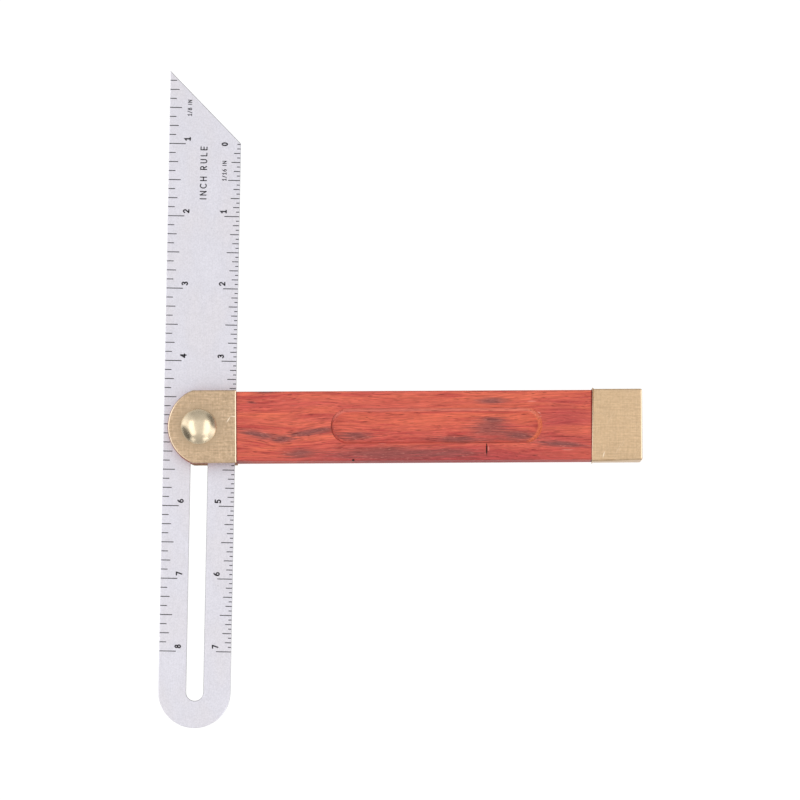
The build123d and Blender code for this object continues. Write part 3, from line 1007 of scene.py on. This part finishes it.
# each character: how far the next one is, then its pen strokes, in a box one unit high
characters = {
    " ": (0.35, []),
    "/": (0.5, [stroke((0.08, 0.05), (0.4, 0.95))]),
    "0": (0.62, [bend(0.3, 0.5, 0.19, 0.4, 0, 360, 28)]),
    "1": (0.6, [stroke((0.12, 0.7), (0.32, 0.88), (0.32, 0.1)), level(0.1, 0.12, 0.5)]),
    "2": (0.62, [bend(0.3, 0.67, 0.2, 0.23, 165, -30) + stroke((0.1, 0.1)), level(0.1, 0.1, 0.52)]),
    "3": (0.62, [bend(0.28, 0.7, 0.18, 0.2, 150, -90), bend(0.28, 0.3, 0.21, 0.2, 90, -150)]),
    "4": (0.62, [upright(0.42), stroke((0.42, 0.9), (0.08, 0.32)), level(0.32, 0.08, 0.56)]),
    "5": (0.62, [
        level(0.9, 0.5, 0.16),
        stroke((0.16, 0.9), (0.14, 0.54)),
        bend(0.27, 0.35, 0.22, 0.25, 125, -140),
    ]),
    "6": (0.62, [bend(0.3, 0.33, 0.2, 0.23, 0, 360, 24), bend(0.5, 0.36, 0.4, 0.54, 180, 105)]),
    "7": (0.6, [level(0.9, 0.1, 0.5), stroke((0.5, 0.9), (0.24, 0.1))]),
    "8": (0.62, [bend(0.3, 0.7, 0.16, 0.19, 0, 360, 24), bend(0.3, 0.3, 0.2, 0.21, 0, 360, 24)]),
    "C": (0.78, [bend(0.42, 0.5, 0.32, 0.4, 50, 310, 20)]),
    "E": (0.66, [upright(0.14)] + [level(y, 0.14, 0.52) for y in (0.1, 0.5, 0.9)]),
    "H": (0.78, [upright(0.14), upright(0.6), level(0.5, 0.14, 0.6)]),
    "I": (0.34, [upright(0.16)]),
    "L": (0.62, [stroke((0.14, 0.9), (0.14, 0.1)), level(0.1, 0.14, 0.5)]),
    "N": (0.8, [upright(0.14), upright(0.62), stroke((0.14, 0.9), (0.62, 0.1))]),
    "R": (0.7, [
        upright(0.14),
        stroke((0.14, 0.9), (0.32, 0.9)) + bend(0.32, 0.69, 0.2, 0.21, 80, -80) + level(0.48, 0.32, 0.14),
        stroke((0.32, 0.48), (0.54, 0.1)),
    ]),
    "U": (0.76, [
        stroke((0.14, 0.9), (0.14, 0.36)) + bend(0.36, 0.36, 0.22, 0.27, 190, 350) + upright(0.58, 0.36),
    ]),
}


# a pen line of a given width along some points: one loop, or two where the line closes on itself
def penLoops(points, width):
    half = width / 2
    if (points[0] - points[-1]).length < 1e-6:
        ring = points[:-1]
        sides = insetLoop(ring, half), insetLoop(ring, -half)
        return [sides[1], sides[0][::-1]]
    ways = [(after - before).normalized() for before, after in zip(points, points[1:])]
    left, right = [], []
    for index, point in enumerate(points):
        before = ways[max(index - 1, 0)]
        after = ways[min(index, len(ways) - 1)]
        normals = Vector((-before.y, before.x)), Vector((-after.y, after.x))
        reach = (normals[0] + normals[1]) * (half / (1 + normals[0].dot(normals[1])))
        left.append(point + reach)
        right.append(point - reach)
    # round ends
    ends = []
    for point, way in ((points[-1], ways[-1]), (points[0], -ways[0])):
        facing = math.degrees(math.atan2(way.y, way.x))
        ends.append(arcPoints(point, half, facing - 90, facing + 90, 6)[1:-1])
    return [right + ends[0] + left[::-1] + ends[1]]


def writeWords(bm, words, along, across, height, pen, spacing=0.0):
    levels = [(bladeZ[1] - scaleShape["sink"], 0), (bladeZ[1] + scaleShape["rise"], 0)]
    at = along
    for character in words:
        advance, strokes = characters[character]
        space = bladeSpace @ Matrix.Translation((at, across, 0)) @ Matrix.Diagonal((height, height, 1, 1))
        for points in strokes:
            slab(penLoops(points, pen), levels, space, bm)
        at += (advance + spacing) * height


def makeFigures():
    bm = bmesh.new()
    height, gap, pen = figureShape["height"], figureShape["afterLine"], figureShape["pen"]
    leftAcross = bladeHalf - figureShape["leftBaseline"]
    rightAcross = figureShape["rightBaseline"] - bladeHalf
    for zero, across, last in (
        (leftZero, leftAcross, scaleShape["leftInches"]),
        (rightZero, rightAcross, scaleShape["rightInches"]),
    ):
        for number in range(1, last + 1):
            writeWords(bm, str(number), zero - number * inch + gap, across, height, pen)
    # the right scale's nought is beside its line
    writeWords(bm, "0", rightZero - figureShape["noughtBefore"] * height, rightAcross, height, pen)
    figures = meshObject(bm, "scaleFigures")
    fitOut(figures, "blade", inkEtched)


def makeLabels():
    bm = bmesh.new()
    for words, (side, start, inset, height, pen, spacing) in labels.items():
        writeWords(bm, words, bladeTip - start, side * (bladeHalf - inset), height, pen, spacing)
    fitOut(meshObject(bm, "scaleLabels"), "blade", inkEtched)


makeFigures()
makeLabels()
print("blade made")


# Pivot bolt: domed head, neck with two flats, and a thread
boltShape = {
    "domeRadius": 6.2 * mm,
    "domeRim": 0.5 * mm,
    "rimEase": 0.18 * mm,
    "neckRadius": 3.6 * mm,
    "flatsHalf": 2.86 * mm,
    "flatsRadius": 3.4 * mm,  # of the neck between the flats, clear of the slot's round ends
    "flatsReach": 1.25 * mm,  # from the blade's middle to the flats' ends
    "threadRadius": 3.0 * mm,
    "threadDepth": 0.55 * mm,
    "pitch": 1.0 * mm,
    "ringsPerTurn": 12,
    "tipChamfer": 0.6 * mm,
}


def domeProfile():
    seat = plateZ[1]
    rise = boltZ[1] - seat - boltShape["domeRim"]
    half = boltShape["domeRadius"]
    sphere = (half**2 + rise**2) / (2 * rise)
    widest = math.asin(half / sphere)
    steps = 40
    points = []
    for step in range(steps + 1):
        turn = widest * step / steps
        points.append((sphere * math.sin(turn), boltZ[1] - sphere * (1 - math.cos(turn))))
    points[0] = (0, boltZ[1])
    ease = boltShape["rimEase"]
    points += [(half, seat + ease), (half - ease * 0.3, seat + ease * 0.3), (half - ease, seat)]
    return points


def makeBolt():
    neck, slim, thread = boltShape["neckRadius"], boltShape["flatsRadius"], boltShape["threadRadius"]
    reach, step = boltShape["flatsReach"], 0.01 * mm
    tip, neckEnd = boltZ[0], -plateZ[1]
    profile = domeProfile()
    profile += [(neck, plateZ[1]), (neck, reach + step), (slim, reach)]
    profile += [(slim, -reach), (neck, -reach - step), (neck, neckEnd), (thread, neckEnd)]
    rings = int((neckEnd - tip) / boltShape["pitch"] * boltShape["ringsPerTurn"])
    for ring in range(1, rings + 1):
        profile.append((thread, neckEnd + (tip - neckEnd) * ring / rings))
    profile.append((0, tip))

    def shape(point, angle):
        radius = math.hypot(point.x, point.y)
        if abs(point.z) <= reach and radius > thread:
            # flats, square to the blade's width
            across = point.dot(bladeLeft)
            kept = max(-boltShape["flatsHalf"], min(boltShape["flatsHalf"], across))
            return point + bladeLeft * (kept - across)
        if point.z < neckEnd and radius > 0:
            turns = point.z / boltShape["pitch"] + angle / (2 * math.pi)
            saw = abs(2 * (turns - math.floor(turns)) - 1)
            # the saw's points are cut off, for flat crests and roots
            cut = boltShape["threadDepth"] * max(0, min(1, 1.25 * saw - 0.1))
            cut = max(cut, boltShape["tipChamfer"] - (point.z - tip))
            scale = (radius - cut) / radius
            return Vector((point.x * scale, point.y * scale, point.z))
        return point

    bolt = meshObject(lathe(profile, pivotSpace(), 96, shape=shape), "pivotBolt")
    fitOut(bolt, "bolt", brassPolished, "pivot_bolt", 30)


makeBolt()


# Washer
washerShape = {"bore": 3.1 * mm, "ease": 0.15 * mm}


def makeWasher():
    outer, inner, ease = washerX[1], washerShape["bore"], washerShape["ease"]
    low, high = washerZ
    profile = [
        (inner + ease, low), (outer - ease, low), (outer, low + ease), (outer, high - ease),
        (outer - ease, high), (inner + ease, high), (inner, high - ease), (inner, low + ease),
    ]
    washer = meshObject(lathe(profile, pivotSpace(), 96, closed=True), "washerRing")
    fitOut(washer, "washer", plateBrass, "washer")


makeWasher()

# Wing nut, a casting: a tapered boss and two ears blended into it
nutShape = {
    "baseRadius": 5.5 * mm,
    "topRadius": 4.3 * mm,
    "height": 6.6 * mm,
    "earRadius": 3.8 * mm,
    "span": 26.0 * mm,
    "root": 1.2 * mm,
    "thickness": 2.6 * mm,
    "bore": 3.05 * mm,
    "turn": 45.0,
    "earEase": 0.9 * mm,
    "voxel": 0.24 * mm,
    "smoothing": 7,
}


# the outline of one ear: the tangents from a short line in the boss to a circle
def earLoop(side):
    radius = nutShape["earRadius"]
    centre = Vector((nutShape["span"] / 2 - radius, washerZ[0] - nutZ[0] - radius))
    rootX = nutShape["bore"] + 0.6 * mm
    lower = Vector((rootX, nutShape["root"]))
    upper = Vector((rootX, nutShape["height"] - nutShape["root"]))
    start, end = [
        math.degrees(math.atan2(gap.y, gap.x) - sign * math.acos(radius / gap.length))
        for gap, sign in ((lower - centre, -1), (upper - centre, 1))
    ]
    while end < start:
        end += 360
    loop = [upper, lower] + arcPoints(centre, radius, start, end, 28)
    if side < 0:
        loop = [Vector((-point.x, point.y)) for point in loop][::-1]
    return loop


def makeWingNut():
    base, top, tall = nutShape["baseRadius"], nutShape["topRadius"], nutShape["height"]
    # the nut's own up is the row's -Z
    down = pivotSpace() @ Matrix.Translation((0, 0, washerZ[0])) @ Matrix.Rotation(math.pi, 4, "X")
    profile = [(0, 0), (base - 0.2 * mm, 0), (base, 0.2 * mm), (base, 0.9 * mm), (top, tall - 0.5 * mm)]
    profile += [(top - 0.5 * mm, tall), (0, tall)]
    nut = meshObject(lathe(profile, down, 64), "wingNut")
    heading = math.radians(nutShape["turn"])
    along = Vector((math.cos(heading), math.sin(heading), 0))
    outward = Vector((0, 0, -1))
    normal = along.cross(outward)
    standing = Matrix.Translation((pivot.x, pivot.y, washerZ[0])) @ Matrix((
        (along.x, outward.x, normal.x, 0),
        (along.y, outward.y, normal.y, 0),
        (along.z, outward.z, normal.z, 0),
        (0, 0, 0, 1),
    ))
    half, ease = nutShape["thickness"] / 2, nutShape["earEase"]
    levels = easedLevels(-half, half, ease, ease, 4)
    ears = [meshObject(slab([earLoop(side)], levels, standing), "ear") for side in (1, -1)]
    carve(nut, ears, "UNION")
    melt = nut.modifiers.new("melt", "REMESH")
    melt.mode = "VOXEL"
    melt.voxel_size = nutShape["voxel"]
    soften = nut.modifiers.new("soften", "SMOOTH")
    soften.iterations = nutShape["smoothing"]
    settleModifiers(nut)
    for vertex in nut.data.vertices:
        vertex.co.z = min(vertex.co.z, washerZ[0])
    bore = nutShape["bore"]
    lead, mouth = bore + 0.3 * mm, bore + 0.6 * mm
    profile = [(0, -toolReach), (lead, -toolReach), (lead, 0), (bore, 0.3 * mm), (bore, tall - 0.5 * mm)]
    profile += [(mouth, tall + 0.1 * mm), (mouth, tall + toolReach), (0, tall + toolReach)]
    carve(nut, [meshObject(lathe(profile, down, 64), "boreTool")])
    fitOut(nut, "wing_nut", brassPolished, "wing_nut", 40)


makeWingNut()
print("bolt, washer and wing nut made")


# Floor, light and camera
stageShape = {
    "floorSize": 12.0,
    "floorColor": (0.45, 0.45, 0.45, 1),  # as the object sees it
    "floorShown": (0.1, 0.1, 0.1, 1),  # as the camera sees it, under its glow
    "floorGlow": 0.96,
    "floorShine": 0.4,  # what the metal sees in it
    "roomLight": 0.45,
    "sideLight": 1.3,  # more of it from the left and the right
    "topLight": 0.42,  # and from above
    "backdrop": 0.98,
    # dark cards that polished metal sees: which way, how far round, and how dark
    "leftCard": {"way": (-0.86, -0.47, 0.05), "wide": 42.0, "depth": 0.88},
    "rightCard": {"way": (0.88, 0.42, 0.05), "wide": 36.0, "depth": 0.85},
}


def makeFloor():
    bm = bmesh.new()
    bmesh.ops.create_grid(bm, x_segments=1, y_segments=1, size=stageShape["floorSize"] / 2)
    bmesh.ops.translate(bm, verts=bm.verts, vec=(0, 0, cadLow.z))
    floor = meshObject(bm, "floor")
    material = bpy.data.materials.new("paleFloor")
    material.use_nodes = True
    tree = material.node_tree
    sockets = tree.nodes["Principled BSDF"].inputs
    sockets["Roughness"].default_value = 0.9
    sockets["Specular IOR Level"].default_value = 0.0
    sockets["Emission Color"].default_value = (1, 1, 1, 1)
    # the glow is for the camera alone, so that it doesn't light the object from below
    path = addNode(tree, "LightPath")
    seen = path.outputs["Is Camera Ray"]
    color = mixColors(tree, seen, stageShape["floorColor"], stageShape["floorShown"])
    tree.links.new(color, sockets["Base Color"])
    shown = multiply(tree, seen, stageShape["floorGlow"])
    glow = calculate(tree, "MULTIPLY_ADD", path.outputs["Is Glossy Ray"], stageShape["floorShine"], shown)
    tree.links.new(glow, sockets["Emission Strength"])
    floor.data.materials.append(material)


def makeWorld():
    world = bpy.data.worlds.new("studio")
    bpy.context.scene.world = world
    world.use_nodes = True
    tree = world.node_tree
    tree.nodes.clear()
    path = addNode(tree, "LightPath")
    place = addNode(tree, "TexCoord")
    way = place.outputs["Generated"]
    x, y, z = addNode(tree, "SeparateXYZ", {0: way}).outputs
    sideways = multiply(tree, x, x)
    sideways = multiply(tree, sideways, sideways)
    upward = multiply(tree, z, z)
    strength = calculate(tree, "MULTIPLY_ADD", sideways, stageShape["sideLight"], stageShape["roomLight"])
    strength = calculate(tree, "MULTIPLY_ADD", upward, stageShape["topLight"], strength)
    for card in (stageShape["leftCard"], stageShape["rightCard"]):
        towards = calculateVector(tree, "DOT_PRODUCT", way, Vector(card["way"]).normalized())
        rim = math.cos(math.radians(card["wide"]))
        shade = mapRange(tree, towards, rim, 0.5 + 0.5 * rim, 0.0, card["depth"])
        shade = multiply(tree, shade, path.outputs["Is Glossy Ray"])
        strength = multiply(tree, strength, calculate(tree, "SUBTRACT", 1.0, shade))
    room = addNode(tree, "Background", {"Color": (1, 1, 1, 1), "Strength": strength})
    backdrop = addNode(tree, "Background", {"Color": (1, 1, 1, 1), "Strength": stageShape["backdrop"]})
    shaders = {0: path.outputs["Is Camera Ray"], 1: room.outputs[0], 2: backdrop.outputs[0]}
    choose = addNode(tree, "MixShader", shaders)
    addNode(tree, "OutputWorld", {"Surface": choose.outputs[0]})


# soft lights aimed at the pivot: degrees from straight up and round from +X, then the sizes across
# and along the object, and the radiance
lightShape = {
    "distance": 1.6,
    "leftSoftbox": {"tilt": 34.5, "turn": 189.0, "wide": 0.74, "long": 2.25, "radiance": 1.0},
    "rightSoftbox": {"tilt": 41.3, "turn": -7.0, "wide": 0.86, "long": 2.25, "radiance": 0.92},
    "leftReflector": {"tilt": 72.0, "turn": 243.0, "wide": 0.5, "long": 0.5, "radiance": 1.0},
    "rightReflector": {"tilt": 70.0, "turn": -60.0, "wide": 0.5, "long": 0.6, "radiance": 1.2},
}


def makeLight(name):
    values = lightShape[name]
    light = bpy.data.lights.new(name, "AREA")
    light.shape = "RECTANGLE"
    light.size, light.size_y = values["long"], values["wide"]
    light.energy = values["radiance"] * values["wide"] * values["long"] * math.pi
    lamp = bpy.data.objects.new(name, light)
    bpy.context.scene.collection.objects.link(lamp)
    tilt, turn = math.radians(values["tilt"]), math.radians(values["turn"])
    way = Vector((math.sin(tilt) * math.cos(turn), math.sin(tilt) * math.sin(turn), math.cos(tilt)))
    lamp.location = pivot + way * lightShape["distance"]
    lamp.rotation_euler = way.to_track_quat("Z", "Y").to_euler()
    lamp.visible_camera = False


cameraShape = {
    "distance": 2.2,
    "field": 0.2799,  # width of the view at the blade
    "aim": (0.06955, 0.0095),  # from the pivot
    "tilt": 3.2,
    "roll": 0.29,
}


def makeCamera():
    data = bpy.data.cameras.new("camera")
    data.sensor_width = 36
    data.lens = data.sensor_width * cameraShape["distance"] / cameraShape["field"]
    camera = bpy.data.objects.new("camera", data)
    bpy.context.scene.collection.objects.link(camera)
    tilt = math.radians(cameraShape["tilt"])
    back = Vector((0, -math.sin(tilt), math.cos(tilt)))
    aim = pivot + Vector((*cameraShape["aim"], 0))
    turn = Matrix.Rotation(math.radians(-cameraShape["roll"]), 4, "Z") @ Matrix.Rotation(tilt, 4, "X")
    camera.matrix_world = Matrix.Translation(aim + back * cameraShape["distance"]) @ turn
    bpy.context.scene.camera = camera


makeFloor()
makeWorld()
for lightName in ("leftSoftbox", "rightSoftbox", "leftReflector", "rightReflector"):
    makeLight(lightName)
makeCamera()
bpy.context.scene.view_settings.view_transform = "Standard"
print("stage made")
